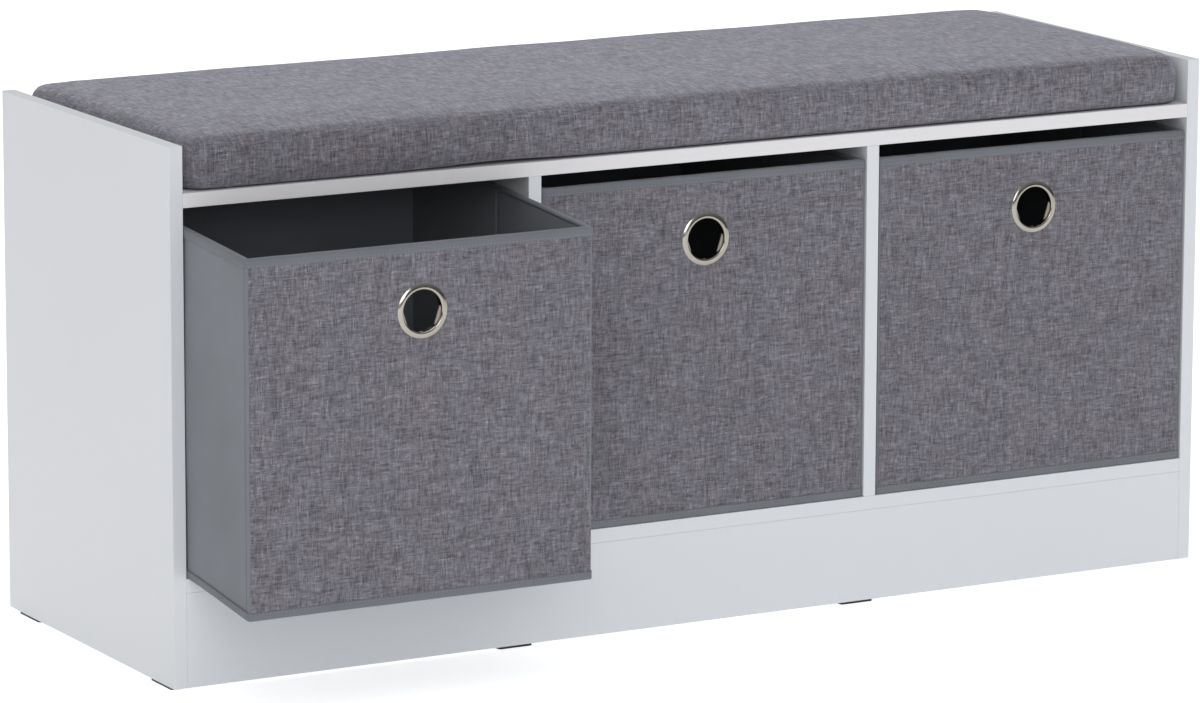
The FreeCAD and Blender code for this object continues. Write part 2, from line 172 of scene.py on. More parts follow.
def sums(tree, operation, first, second=0.0, third=0.0):
    """The output of a Math node."""
    return add_node(tree, "ShaderNodeMath", {0: first, 1: second, 2: third}, operation=operation).outputs[0]


def vectors(tree, operation, first, second=(0.0, 0.0, 0.0)):
    """The vector output of a Vector Math node."""
    return add_node(tree, "ShaderNodeVectorMath", {0: first, 1: second}, operation=operation).outputs[0]


def blended(tree, factor, first, second, blend_type="MIX"):
    """The colour output of a Mix node."""
    inputs = {0: factor, 6: first, 7: second}
    made = add_node(tree, "ShaderNodeMix", inputs, data_type="RGBA", blend_type=blend_type)
    return made.outputs[2]


def between(tree, factor, first, second):
    """The number output of a Mix node."""
    return add_node(tree, "ShaderNodeMix", {0: factor, 2: first, 3: second}, data_type="FLOAT").outputs[0]


def remapped(tree, value, low, high, new_low=0.0, new_high=1.0):
    """A value moved from one range to another and held inside it."""
    inputs = {0: value, 1: low, 2: high, 3: new_low, 4: new_high}
    return add_node(tree, "ShaderNodeMapRange", inputs).outputs[0]


def apart(tree, vector):
    """The X, Y and Z outputs of a vector."""
    return add_node(tree, "ShaderNodeSeparateXYZ", {0: vector}).outputs


def together(tree, x, y, z=0.0):
    """A vector from three numbers."""
    return add_node(tree, "ShaderNodeCombineXYZ", {0: x, 1: y, 2: z}).outputs[0]


def brightened(tree, colour, level):
    """A colour multiplied by a level."""
    return blended(tree, 1.0, colour, together(tree, level, level, level), "MULTIPLY")


def cloud(tree, vector, scale, detail=2.0, roughness=0.5):
    """A noise value."""
    inputs = {"Vector": vector, "Scale": scale, "Detail": detail, "Roughness": roughness}
    return add_node(tree, "ShaderNodeTexNoise", inputs).outputs[0]


def effect(name, inputs, outputs):
    """A shared node group: its tree, its inputs' outputs and its own output node."""
    tree = bpy.data.node_groups.new(name, "ShaderNodeTree")
    for label, kind, value in inputs:
        socket = tree.interface.new_socket(label, in_out="INPUT", socket_type=kind)
        if value is not None:
            socket.default_value = value
    for label, kind in outputs:
        tree.interface.new_socket(label, in_out="OUTPUT", socket_type=kind)
    entry = tree.nodes.new("NodeGroupInput")
    leave = tree.nodes.new("NodeGroupOutput")
    return tree, entry.outputs, leave.inputs


NUMBER = "NodeSocketFloat"
VECTOR = "NodeSocketVector"


def make_flat_on_face():
    """Coordinates along whichever flat side of a box-shaped piece a point is on."""
    tree, _, out = effect("flat_on_face", [], [("Flat", VECTOR)])
    texture = add_node(tree, "ShaderNodeTexCoord")
    x, y, z = apart(tree, texture.outputs["Object"])
    nx, ny, nz = apart(tree, vectors(tree, "ABSOLUTE", texture.outputs["Normal"]))
    faces_up = sums(tree, "GREATER_THAN", nz, sums(tree, "MAXIMUM", nx, ny))
    faces_side = sums(tree, "GREATER_THAN", nx, ny)
    along = between(tree, faces_up, between(tree, faces_side, x, y), x)
    up = between(tree, faces_up, z, y)
    tree.links.new(together(tree, along, up), out["Flat"])
    return tree


def make_slub_threads():
    """A plain weave of uneven yarn: each yarn has its own tone, which changes along it."""
    inputs = [("Cloth", VECTOR, None), ("Pitch", NUMBER, 1.0 * MM), ("Run", NUMBER, 14 * MM)]
    tree, given, out = effect("slub_threads", inputs, [("Tone", NUMBER), ("Height", NUMBER), ("Slub", NUMBER)])
    u, v, _ = apart(tree, given["Cloth"])
    sway = sums(tree, "MULTIPLY", cloud(tree, given["Cloth"], 60.0, 1.0), 1.2 * MM)
    yarns = []
    for across, along, step, layer in ((u, v, 7.31, 3.0), (v, u, 5.17, 11.0)):
        count = sums(tree, "DIVIDE", sums(tree, "ADD", across, sway), given["Pitch"])
        yarn = sums(tree, "FLOOR", count)
        run = sums(tree, "DIVIDE", along, given["Run"])
        tone = cloud(tree, together(tree, sums(tree, "MULTIPLY", yarn, step), run, layer), 1.0, 2.0, 0.6)
        bulge = sums(tree, "SINE", sums(tree, "MULTIPLY", sums(tree, "FRACT", count), math.pi))
        yarns.append((yarn, tone, bulge))
    (warp, warp_tone, warp_round), (weft, weft_tone, weft_round) = yarns
    over = sums(tree, "PINGPONG", sums(tree, "ADD", warp, weft), 1.0)
    tone = between(tree, sums(tree, "MULTIPLY_ADD", over, 0.5, 0.25), weft_tone, warp_tone)
    tree.links.new(tone, out["Tone"])
    thickness = remapped(tree, tone, 0.3, 0.7, 0.6, 1.0)
    crown = between(tree, over, weft_round, warp_round)
    tree.links.new(sums(tree, "MULTIPLY", crown, thickness), out["Height"])
    thick_places = sums(tree, "MAXIMUM", warp_tone, weft_tone)
    tree.links.new(remapped(tree, thick_places, 0.58, 0.72), out["Slub"])
    return tree


def make_pressed_points():
    """Felted fibre with rows of small heat-pressed points."""
    inputs = [("Flat", VECTOR, None), ("Pitch", NUMBER, 1.6 * MM)]
    tree, given, out = effect("pressed_points", inputs, [("Point", NUMBER), ("Fibre", NUMBER), ("Height", NUMBER)])
    inputs = {"Vector": given["Flat"], "Angle": math.radians(45)}
    turned = add_node(tree, "ShaderNodeVectorRotate", inputs, rotation_type="Z_AXIS").outputs[0]
    inputs = {0: turned, 3: sums(tree, "DIVIDE", 1.0, given["Pitch"])}
    scaled = add_node(tree, "ShaderNodeVectorMath", inputs, operation="SCALE").outputs[0]
    cell = vectors(tree, "SUBTRACT", vectors(tree, "FRACTION", scaled), (0.5, 0.5, 0.0))
    cell_x, cell_y, _ = apart(tree, cell)
    squares = [sums(tree, "MULTIPLY", side, side) for side in (cell_x, cell_y)]
    reach = sums(tree, "SQRT", sums(tree, "ADD", *squares))
    point = remapped(tree, reach, 0.2, 0.32, 1.0, 0.0)
    flat_x, flat_y, _ = apart(tree, given["Flat"])
    stretched = together(tree, sums(tree, "MULTIPLY", flat_x, 0.35), flat_y)
    fibre = cloud(tree, stretched, 2600.0, 3.0, 0.7)
    tree.links.new(point, out["Point"])
    tree.links.new(fibre, out["Fibre"])
    tree.links.new(sums(tree, "SUBTRACT", sums(tree, "MULTIPLY", fibre, 0.5), point), out["Height"])
    return tree


def make_mottle():
    """Slow changes over a surface, and fine grain on top of them."""
    inputs = [("Place", VECTOR, None), ("Slow", NUMBER, 6.0), ("Fine", NUMBER, 900.0)]
    tree, given, out = effect("mottle", inputs, [("Slow", NUMBER), ("Fine", NUMBER)])
    tree.links.new(cloud(tree, given["Place"], given["Slow"], 3.0, 0.5), out["Slow"])
    tree.links.new(cloud(tree, given["Place"], given["Fine"], 2.0, 0.6), out["Fine"])
    return tree


FLAT_ON_FACE = make_flat_on_face()
SLUB_THREADS = make_slub_threads()
PRESSED_POINTS = make_pressed_points()
MOTTLE = make_mottle()


def group(tree, effect_tree, inputs=None):
    """A shared effect placed in a material: its outputs."""
    return add_node(tree, "ShaderNodeGroup", inputs, node_tree=effect_tree).outputs


class Finish:
    """A material with one Principled shader, whose constants sit on the shader's own sockets."""

    def __init__(self, name, **constants):
        self.material = bpy.data.materials.new(name)
        self.material.use_nodes = True
        self.tree = self.material.node_tree
        self.shader = next(node for node in self.tree.nodes if node.type == "BSDF_PRINCIPLED")
        for label, value in constants.items():
            self.shader.inputs[label.replace("_", " ").title().replace("Ior", "IOR")].default_value = value

    def object_place(self):
        return add_node(self.tree, "ShaderNodeTexCoord").outputs["Object"]

    def colour(self, socket):
        self.tree.links.new(socket, self.shader.inputs["Base Color"])

    def roughness(self, socket):
        self.tree.links.new(socket, self.shader.inputs["Roughness"])

    def relief(self, socket, distance, strength):
        inputs = {"Height": socket, "Distance": distance, "Strength": strength}
        bump = add_node(self.tree, "ShaderNodeBump", inputs)
        self.tree.links.new(bump.outputs[0], self.shader.inputs["Normal"])

    def mottle(self, slow, fine):
        return group(self.tree, MOTTLE, {"Place": self.object_place(), "Slow": slow, "Fine": fine})


# ---------------------------------------------------------------- finishes

def board_finish(name, dark, light, edge_tone_and_painted_light):
    """White melamine foil on chipboard, with its own tone of edge tape along the front. For the seat board that
    edge tone is lighter than the others: painted light that makes up for the shade which the cushion and the drawn
    box cast on its front edge.
    """
    finish = Finish(name, roughness=0.42, specular_ior_level=0.45)
    tree = finish.tree
    mottle = finish.mottle(4.0, 1400.0)
    y = apart(tree, finish.object_place())[1]
    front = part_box("side_panel_left")[0][1]
    # The front edge takes the edge tone; for the seat board this tone is painted light.
    on_edge = remapped(tree, y, front + 0.3 * MM, front + 0.6 * MM, 1.0, 0.0)
    face = blended(tree, mottle["Slow"], dark, light)
    finish.colour(blended(tree, on_edge, face, edge_tone_and_painted_light))
    finish.roughness(remapped(tree, mottle["Fine"], 0.3, 0.7, 0.38, 0.5))
    finish.relief(mottle["Fine"], 0.03 * MM, 0.5)
    return finish.material


def hardboard_finish():
    """Thin hardboard, white in front and bare brown at the rear."""
    finish = Finish("white_hardboard", roughness=0.6)
    tree = finish.tree
    place = finish.object_place()
    low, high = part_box("back_panel")
    rear = remapped(tree, apart(tree, place)[1], high[1] - 0.4 * MM, high[1] - 0.2 * MM)
    mottle = finish.mottle(30.0, 1100.0)
    fibre = cloud(tree, vectors(tree, "MULTIPLY", place, (1.0, 1.0, 0.25)), 1500.0, 4.0, 0.7)
    raw = blended(tree, fibre, (0.16, 0.085, 0.045, 1), (0.42, 0.27, 0.16, 1))
    raw = blended(tree, sums(tree, "MULTIPLY", mottle["Slow"], 0.4), raw, (0.22, 0.13, 0.075, 1))
    finish.colour(blended(tree, rear, (0.65, 0.66, 0.67, 1), raw))
    finish.roughness(between(tree, rear, 0.45, 0.85))
    finish.relief(fibre, 0.12 * MM, 0.6)
    return finish.material


def slub_finish(name, place_of, shade):
    """Linen-look cloth of grey slub yarn, with a painted sheen that makes it paler at a grazing angle and so
    lightens the cushion's top. place_of gives the cloth's own coordinates.
    """
    finish = Finish(name, roughness=0.92, specular_ior_level=0.12, sheen_weight=0.25, sheen_roughness=0.5,
                    sheen_tint=(0.84, 0.87, 1.0, 1.0))
    tree = finish.tree
    cloth = place_of(tree)
    weave = group(tree, SLUB_THREADS, {"Cloth": cloth, "Pitch": 0.95 * MM, "Run": 12 * MM})
    broad = group(tree, SLUB_THREADS, {"Cloth": cloth, "Pitch": 2.3 * MM, "Run": 26 * MM})
    ramp = add_node(tree, "ShaderNodeValToRGB", {0: weave["Tone"]})
    bands = ((0.30, 0.34), (0.42, 0.72), (0.52, 1.06), (0.62, 1.45), (0.72, 1.95))
    elements = ramp.color_ramp.elements
    while len(elements) < len(bands):
        elements.new(0.5)
    for element, (position, level) in zip(elements, bands):
        element.position = position
        element.color = (0.177 * level * shade, 0.171 * level * shade, 0.196 * level * shade, 1)
    patches = cloud(tree, cloth, 26.0, 2.0, 0.5)
    warmer = remapped(tree, patches, 0.42, 0.68)
    colour = blended(tree, warmer, ramp.outputs[0], (1.03, 0.985, 0.965, 1), "MULTIPLY")
    coarse = remapped(tree, broad["Tone"], 0.32, 0.68, 0.70, 1.30)
    colour = brightened(tree, colour, coarse)
    # Painted sheen: the colour is made paler towards a grazing angle, which lightens the cushion's top as light
    # would.
    grazing = add_node(tree, "ShaderNodeLayerWeight", {"Blend": 0.5}).outputs["Facing"]
    painted_sheen = remapped(tree, grazing, 0.45, 0.85)
    finish.colour(blended(tree, painted_sheen, colour, (1.60, 1.66, 1.66, 1), "MULTIPLY"))
    height = sums(tree, "ADD", weave["Height"], sums(tree, "MULTIPLY", weave["Slub"], 0.6))
    finish.relief(height, 0.28 * MM, 0.8)
    return finish.material


def nonwoven_finish(name, level):
    """Grey non-woven cloth: felted fibre with pressed points."""
    finish = Finish(name, roughness=0.88, specular_ior_level=0.2, sheen_weight=0.12, sheen_roughness=0.5)
    tree = finish.tree
    flat = group(tree, FLAT_ON_FACE)["Flat"]
    points = group(tree, PRESSED_POINTS, {"Flat": flat})
    mottle = finish.mottle(14.0, 420.0)
    dark, light = (tuple(step * level * part for part in (0.220, 0.234, 0.260)) + (1,) for step in (0.80, 1.12))
    base = blended(tree, remapped(tree, points["Fibre"], 0.3, 0.7), dark, light)
    base = blended(tree, sums(tree, "MULTIPLY", points["Point"], 0.22), base, dark)
    slow = remapped(tree, mottle["Slow"], 0.3, 0.7, 0.92, 1.08)
    finish.colour(brightened(tree, base, slow))
    finish.roughness(remapped(tree, points["Point"], 0.0, 1.0, 0.9, 0.72))
    finish.relief(points["Height"], 0.12 * MM, 0.7)
    return finish.material


def nickel_finish():
    """Polished nickel with a warm cast and faint handling marks."""
    finish = Finish("polished_nickel", metallic=1.0)
    tree = finish.tree
    mottle = finish.mottle(260.0, 2400.0)
    finish.colour(blended(tree, mottle["Slow"], (0.46, 0.43, 0.37, 1), (0.58, 0.55, 0.49, 1)))
    finish.roughness(remapped(tree, mottle["Slow"], 0.35, 0.7, 0.10, 0.24))
    finish.relief(mottle["Fine"], 0.01 * MM, 0.25)
    return finish.material


def zinc_finish(name, dark, light):
    """Bright zinc plating: small patches of changing brightness, and fine grain."""
    finish = Finish(name, metallic=1.0)
    tree = finish.tree
    mottle = finish.mottle(420.0, 3000.0)
    finish.colour(blended(tree, mottle["Slow"], dark, light))
    finish.roughness(remapped(tree, mottle["Fine"], 0.3, 0.7, 0.28, 0.46))
    finish.relief(mottle["Fine"], 0.015 * MM, 0.4)
    return finish.material


def two_tone(name, pattern, dark, light, depth, strength, **constants):
    """A finish that changes between two tones with a pattern, which is also its relief."""
    finish = Finish(name, **constants)
    value = pattern(finish)
    finish.colour(blended(finish.tree, value, dark, light))
    finish.relief(value, depth, strength)
    return finish.material


def long_grain(finish):
    """Wood grain along X."""
    place = vectors(finish.tree, "MULTIPLY", finish.object_place(), (0.12, 1.0, 1.0))
    return cloud(finish.tree, place, 1800.0, 4.0, 0.6)


def open_cells(finish):
    """The cells of foam."""
    inputs = {"Vector": finish.object_place(), "Scale": 900.0}
    return add_node(finish.tree, "ShaderNodeTexVoronoi", inputs).outputs[0]


def ribs(pitch, *axes):
    """Even ribs across the sum of the given axes: twill tape, or the twist of a thread."""
    def pattern(finish):
        tree = finish.tree
        place = apart(tree, finish.object_place())
        run = place[axes[0]]
        for axis in axes[1:]:
            run = sums(tree, "ADD", run, place[axis])
        wave = sums(tree, "SINE", sums(tree, "MULTIPLY", run, 2 * math.pi / pitch))
        return remapped(tree, wave, -1.0, 1.0)
    return pattern


def cloth_attribute(tree):
    """The cushion cover's own coordinates, laid down panel by panel."""
    return add_node(tree, "ShaderNodeAttribute", attribute_name="cloth_place").outputs["Vector"]


def cloth_on_face(tree):
    """Coordinates along the flat side that a point is on."""
    return group(tree, FLAT_ON_FACE)["Flat"]


BOARD = board_finish("white_melamine", (0.645, 0.66, 0.685, 1), (0.67, 0.685, 0.71, 1), (0.64, 0.66, 0.69, 1))
# The seat board: the same white melamine painted lighter, most of all along its front edge, as painted light in
# place of the shade that the cushion and the drawn box cast there.
SEAT_BOARD_PAINTED_LIGHT = board_finish("white_seat_board_painted_light", (0.66, 0.665, 0.685, 1), (0.68, 0.685, 0.705, 1),
                          (0.69, 0.68, 0.70, 1))
HARDBOARD = hardboard_finish()
CUSHION_CLOTH = slub_finish("grey_slub_cushion", cloth_attribute, 0.93)
FRONT_CLOTH = slub_finish("grey_slub_front", cloth_on_face, 0.88)
NONWOVEN = nonwoven_finish("grey_nonwoven", 0.82)
TAPE_CLOTH = nonwoven_finish("grey_tape", 0.70)
NICKEL = nickel_finish()
ZINC = zinc_finish("zinc_plating", (0.52, 0.53, 0.55, 1), (0.78, 0.79, 0.80, 1))
ZIP_METAL = zinc_finish("zip_metal", (0.45, 0.45, 0.47, 1), (0.66, 0.66, 0.69, 1))
BEECH = two_tone("beech", long_grain, (0.42, 0.26, 0.14, 1), (0.72, 0.52, 0.33, 1), 0.08 * MM, 0.6, roughness=0.6)
FELT = two_tone("black_felt", lambda finish: finish.mottle(500.0, 2600.0)["Fine"], (0.012, 0.012, 0.013, 1),
                (0.05, 0.05, 0.052, 1), 0.3 * MM, 0.8, roughness=0.97, specular_ior_level=0.1, sheen_weight=0.25)
FOAM = two_tone("foam", open_cells, (0.55, 0.50, 0.36, 1), (0.86, 0.82, 0.68, 1), 0.4 * MM, 0.8, roughness=0.95)
GREYBOARD = two_tone("greyboard", lambda finish: finish.mottle(120.0, 1500.0)["Fine"], (0.22, 0.20, 0.17, 1),
                     (0.46, 0.43, 0.38, 1), 0.1 * MM, 0.5, roughness=0.9)
ZIP_CLOTH = two_tone("zip_cloth", ribs(0.9 * MM, 0, 2), (0.035, 0.036, 0.042, 1), (0.085, 0.087, 0.096, 1),
                     0.1 * MM, 0.6, roughness=0.7, specular_ior_level=0.3, sheen_weight=0.1)
THREAD = two_tone("sewing_thread", ribs(0.45 * MM, 0, 1, 2), (0.13, 0.135, 0.15, 1), (0.26, 0.27, 0.29, 1),
                  0.05 * MM, 0.6, roughness=0.65, sheen_weight=0.2)

SLOT_FINISH = {
    "white_melamine": BOARD, "white_hardboard": HARDBOARD, "zinc_plated_steel": ZINC, "beech": BEECH,
    "black_felt": FELT, "grey_slub_cloth": CUSHION_CLOTH, "grey_slub_cloth_box": FRONT_CLOTH, "foam": FOAM,
    "zip_grey": ZIP_CLOTH, "zip_metal": ZIP_METAL, "nonwoven": NONWOVEN, "greyboard": GREYBOARD,
    "polished_nickel": NICKEL,
}


def finish_frame_nodes():
    """Every carried-over node takes the finish of its slot, and the seat board a lighter copy of the white
    melamine, with painted light along its front edge.
    """
    for part in frame["record"]["subparts"]:
        node = frame["nodes"][part["node"]]
        finish = SEAT_BOARD_PAINTED_LIGHT if part["node"] == "seat_board" else SLOT_FINISH[part["material_slot"]]
        if not node.material_slots:
            node.data.materials.append(finish)
        for place in node.material_slots:
            place.link = "OBJECT"
            place.material = finish


# ---------------------------------------------------------------- mesh helpers

def placed(name, data):
    """A new object in the scene."""
    made = bpy.data.objects.new(name, data)
    bpy.context.scene.collection.objects.link(made)
    return made


def corners(node):
    """The lowest and highest corners of a node."""
    return (Vector(corner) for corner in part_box(node))


def ring_faces(base, size, rings, closed=False, turned=False):
    """Quads between rings of points that follow each other from base on."""
    faces = []
    for ring in range(rings if closed else rings - 1):
        here = base + ring * size
        there = base + (ring + 1) % rings * size
        for step in range(size):
            following = (step + 1) % size
            face = (here + step, there + step, there + following, here + following)
            faces.append(face[:1] + face[:0:-1] if turned else face)
    return faces


def make_piece(name, points, faces, finish, body, stands_for=(), sharp=None):
    """A smooth mesh piece that rides on a body and takes the finish it is given."""
    mesh = bpy.data.meshes.new(name)
    mesh.from_pydata([tuple(point) for point in points], [], faces)
    mesh.materials.append(finish)
    mesh.shade_smooth()
    if sharp is not None:
        mesh.set_sharp_from_angle(angle=math.radians(sharp))
    piece = placed(name, mesh)
    if stands_for:
        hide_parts(*stands_for)
    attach(piece, body)
    return piece


def wander(x, y=0.0, z=0.0, scale=1.0):
    """Smooth noise between about -1 and 1."""
    return noise.noise(Vector((x * scale, y * scale, z * scale)))


def spaced(length, pitch, soft, extra=()):
    """Places along a length: even in the middle, close together near both ends and round extra places."""
    near = [0.0, 0.12 * soft, 0.4 * soft, 0.75 * soft, soft]
    count = max(2, round((length - 2 * soft) / pitch))
    middle = [soft + (length - 2 * soft) * step / count for step in range(1, count)]
    for place in extra:
        middle = [m for m in middle if abs(m - place) > 3.2 * MM]
        middle += [place + offset * MM for offset in (-3, -1.8, -0.9, 0, 0.9, 1.8, 3)]
    return sorted(near + middle + [length - step for step in near])


def slab(name, corner, along, up, inward, width, height, thick, finish, body, slot, stands_for=(), hole=None,
         fold=None, swell=(0.0, 0.0), soft=1.6 * MM, wave=0.25 * MM, pitch=WALL_PITCH, seed=0.0):
    """A padded or sewn wall: two faces joined round rounded edges.

    corner is the low end of the outer face. hole is (along, up, radius), fold is a place along the wall, and
    swell is how far the outer and inner faces stand out in their middles.
    """
    us = spaced(width, pitch, soft, (fold,) if fold else ())
    vs = spaced(height, pitch, soft)
    points = []
    for layer, lift in ((0, swell[0]), (1, swell[1])):
        for v in vs:
            for u in us:
                edge = min(u, width - u, v, height - v)
                nose = math.sqrt(max(0.0, 1 - (1 - min(edge, soft) / soft) ** 2))
                half = thick / 2 * (0.25 + 0.75 * nose)
                if fold:
                    half *= 1 - FOLD_DEPTH * math.exp(-((u - fold) / FOLD_WIDTH) ** 2)
                ease = min(1.0, 4 * u / width, 4 * (1 - u / width)) * min(1.0, 4 * v / height, 4 * (1 - v / height))
                half += lift * ease * (0.75 + 0.5 * wander(u, v, seed + 5 * layer, 9.0))
                sway = wave * wander(u, v, seed, 14.0)
                depth = thick / 2 + sway + (half if layer else -half)
                points.append(corner + along * u + up * v + inward * depth)
    columns = len(us)
    count = columns * len(vs)
    cells = []
    for row in range(len(vs) - 1):
        for column in range(columns - 1):
            first = row * columns + column
            middle_u = (us[column] + us[column + 1]) / 2
            middle_v = (vs[row] + vs[row + 1]) / 2
            if hole and math.hypot(middle_u - hole[0], middle_v - hole[1]) < hole[2]:
                continue
            cells.append((first, first + 1, first + columns + 1, first + columns))
    sides = {}
    for cell in cells:
        for start, end in zip(cell, cell[1:] + cell[:1]):
            if (end, start) in sides:
                del sides[(end, start)]
            else:
                sides[(start, end)] = True
    if hole:
        rim = {index for pair in sides for index in pair}
        for index in rim:
            u, v = us[index % columns], vs[index // columns]
            reach = math.hypot(u - hole[0], v - hole[1])
            if reach > hole[2] * 1.6:
                continue
            shift = hole[2] / reach - 1
            move = along * ((u - hole[0]) * shift) + up * ((v - hole[1]) * shift)
            points[index] = points[index] + move
            points[index + count] = points[index + count] + move
    flipped = along.cross(up).dot(inward) > 0
    faces = [cell[::-1] if flipped else cell for cell in cells]
    faces += [tuple(index + count for index in (cell if flipped else cell[::-1])) for cell in cells]
    for start, end in sides:
        wall = (start, start + count, end + count, end)
        faces.append(wall[::-1] if flipped else wall)
    used = sorted({index for face in faces for index in face})
    renumber = {index: place for place, index in enumerate(used)}
    points = [points[index] for index in used]
    faces = [tuple(renumber[index] for index in face) for face in faces]
    return make_piece(name, points, faces, finish, body, stands_for)


def rounded_loop(x0, x1, y0, y1, radius, pitch):
    """Points round a rectangle with rounded corners: (x, y, outward x, outward y), anticlockwise."""
    loop = []
    bends = ((x1 - radius, y0 + radius, -90), (x1 - radius, y1 - radius, 0), (x0 + radius, y1 - radius, 90),
             (x0 + radius, y0 + radius, 180))
    turns = 5
    for number, (cx, cy, start) in enumerate(bends):
        arc = []
        for step in range(turns + 1):
            angle = math.radians(start + 90 * step / turns)
            arc.append((cx + radius * math.cos(angle), cy + radius * math.sin(angle), math.cos(angle),
                        math.sin(angle)))
        loop += arc
        next_x, next_y, next_start = bends[(number + 1) % len(bends)]
        begin = arc[-1]
        angle = math.radians(next_start)
        end = (next_x + radius * math.cos(angle), next_y + radius * math.sin(angle))
        count = max(2, round(math.dist(begin[:2], end) / pitch))
        for step in range(1, count):
            share = step / count
            x, y = (near + (far - near) * share for near, far in zip(begin, end))
            loop.append((x, y, *begin[2:]))
    return loop


def swept_tape(name, loop, section, body, seed):
    """A strip of tape round a loop. section is a closed list of (outward, height)."""
    points = []
    for x, y, out_x, out_y in loop:
        for out, height in section:
            drift = TAPE_RIPPLE * wander(x + seed, y, height * 0.3, 60.0)
            points.append((x + out_x * (out + drift * 0.4), y + out_y * (out + drift * 0.4), height + drift * 0.5))
    faces = ring_faces(0, len(section), len(loop), closed=True)
    return make_piece(name, points, faces, TAPE_CLOTH, body)


def folded_section(inner, outer, top, drop, tuck, cloth):
    """A tape folded over an upper edge that lies between two faces: a closed list of (outward, height)."""
    middle = (inner + outer) / 2
    radius = (outer - inner) / 2
    arc = 6
    outside = [(outer + cloth * 0.6, top - drop), (outer + cloth, top - drop + 0.5 * MM),
               (outer + cloth, top - drop / 2)]
    over = []
    for step in range(arc + 1):
        angle = math.pi * step / arc
        height = top - radius * 0.6 + (radius * 0.6 + cloth) * math.sin(angle)
        over.append((middle + (radius + cloth) * math.cos(angle), height))
    inside = [(inner - cloth, top - tuck * 0.7), (inner - cloth * 0.6, top - tuck)]
    back = [(inner, top - tuck), (middle, top - radius * 0.5), (outer, top - drop / 2), (outer, top - drop)]
    return (outside + over + inside + back)[::-1]


def foot_section(foot, top):
    """A tape round the foot, turned in under the bottom: a closed list of (outward, height)."""
    out = LINEN + TAPE
    return [(-1.5 * MM, foot + 0.1 * MM), (LINEN, foot + 0.1 * MM), (out, foot + 0.8 * MM), (out, top - 0.5 * MM),
            (LINEN + TAPE * 0.6, top), (0.2 * MM, top), (0.2 * MM, foot + 1.0 * MM), (-1.5 * MM, foot + 0.8 * MM)]


def stitches(name, loop, height, body, seed):
    """A row of short stitches lying on a loop of tape."""
    out = LINEN + TAPE
    points = []
    faces = []
    gaps = []
    total = 0.0
    for here, there in zip(loop, loop[1:] + loop[:1]):
        gaps.append((total, here, there))
        total += math.dist(here[:2], there[:2])
    count = round(total / STITCH)
    place = 0
    for number in range(count):
        run = total * number / count
        while place + 1 < len(gaps) and gaps[place + 1][0] <= run:
            place += 1
        start, here, there = gaps[place]
        share = (run - start) / max(math.dist(here[:2], there[:2]), 1e-9)
        x = here[0] + (there[0] - here[0]) * share
        y = here[1] + (there[1] - here[1]) * share
        normal = Vector((here[2] * (1 - share) + there[2] * share, here[3] * (1 - share) + there[3] * share, 0))
        normal.normalize()
        tangent = Vector((-normal.y, normal.x, 0))
        drift = TAPE_RIPPLE * wander(x + seed, y, height * 0.3, 60.0)
        middle = Vector((x, y, height + drift * 0.5)) + normal * (out + drift * 0.4)
        base = len(points)
        half = STITCH * 0.38
        for along, radius, sink in ((-half, 0.10, 0.25), (-half * 0.5, 0.26, 0.0), (half * 0.5, 0.26, 0.0),
                                    (half, 0.10, 0.25)):
            for side in range(6):
                angle = math.tau * side / 6
                offset = (normal * math.sin(angle) + Vector((0, 0, 1)) * math.cos(angle)) * radius * MM
                points.append(middle + tangent * along + offset - normal * sink * MM)
        faces += ring_faces(base, 6, 4, turned=True)
        faces.append(tuple(base + side for side in reversed(range(6))))
        faces.append(tuple(base + 18 + side for side in range(6)))
    return make_piece(name, points, faces, THREAD, body)


def turned_ring(name, profile, centre, body, stands_for):
    """A nickel ring turned about Y from a closed profile of (radius, depth behind the front face)."""
    points = []
    for step in range(EYELET_SEGMENTS):
        angle = math.tau * step / EYELET_SEGMENTS
        for radius, depth in profile:
            points.append((centre.x + radius * math.cos(angle), centre.y + depth,
                           centre.z + radius * math.sin(angle)))
    faces = ring_faces(0, len(profile), EYELET_SEGMENTS, closed=True, turned=True)
    return make_piece(name, points, faces, NICKEL, body, stands_for)


# ---------------------------------------------------------------- drawer boxes

def droop(piece, front, edge, foot, rim):
    """Lowers a piece of the drawn box, more and more towards the box's front."""
    for vertex in piece.data.vertices:
        rise = min(max((vertex.co.z - foot) / (rim - foot), 0.0), 1.0)
        start = edge + SAG_LEAD * rise
        past = min(max((start - vertex.co.y) / (start - front), 0.0), 1.0)
        vertex.co.z -= SAG * past ** 1.1


def release_droop(pieces):
    """Gives each of the drooping box's pieces its own copy of its mesh."""
    for piece in pieces:
        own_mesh(piece)


